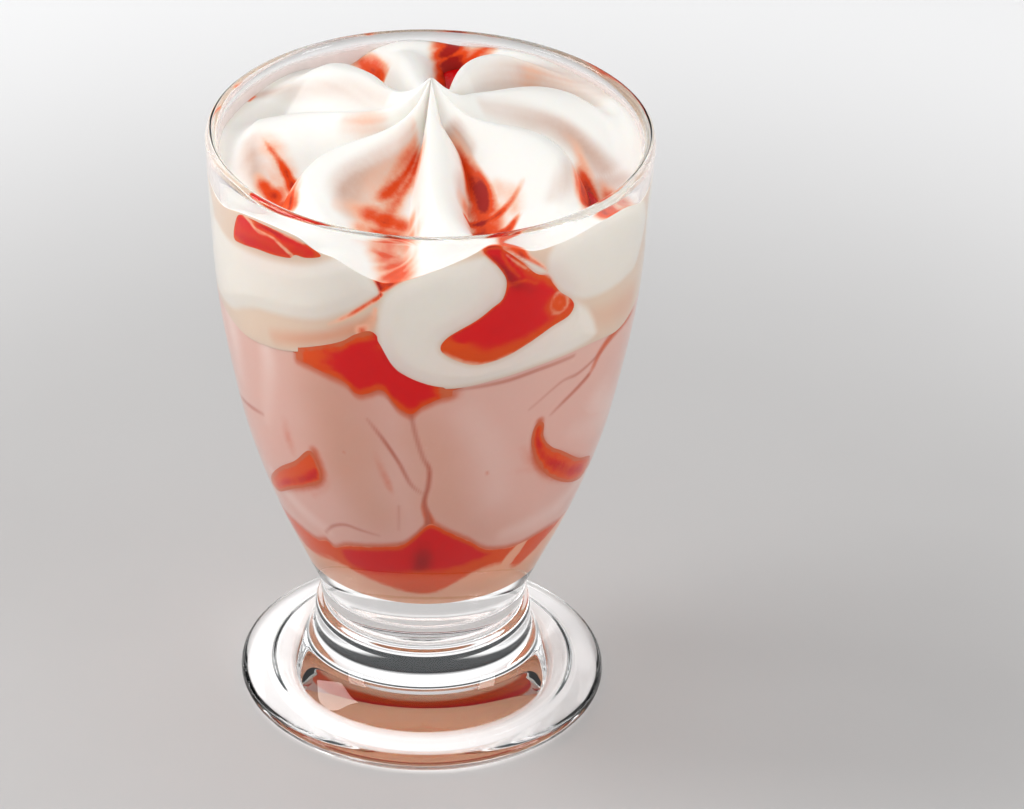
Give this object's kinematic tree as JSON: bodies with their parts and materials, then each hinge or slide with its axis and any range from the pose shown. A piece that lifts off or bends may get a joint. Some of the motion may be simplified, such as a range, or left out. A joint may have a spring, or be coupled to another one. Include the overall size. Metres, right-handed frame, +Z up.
{
  "type": "strawberry sundae",
  "caption": "Strawberry sundae in a clear footed glass: pink ice cream between layers of red sauce under a piped swirl of whipped cream with pools of sauce.",
  "frame": {"origin": "middle of the foot, on the surface that the glass stands on", "axes": "+Z up along the glass's axis; -Y towards the front, where the long petal of cream and its pool of sauce are"},
  "size_m": [0.076, 0.076, 0.1205],
  "materials": {
    "glass": "clear and polished",
    "sauce": "glossy red strawberry sauce",
    "ice_cream": "soft pink strawberry ice cream",
    "whipped_cream": "smooth white whipped cream"
  },
  "bodies": {
    "root": {"glass": "glass", "sauce_bottom": "sauce", "ice_cream": "ice_cream", "whipped_cream": "whipped_cream", "sauce_wedge_left": "sauce", "sauce_crescent_right": "sauce", "sauce_streak_back": "sauce", "sauce_middle": "sauce", "sauce_front": "sauce", "sauce_left": "sauce", "sauce_pocket_back": "sauce", "sauce_pool_right": "sauce", "sauce_pool_back": "sauce"}
  },
  "joints": []
}
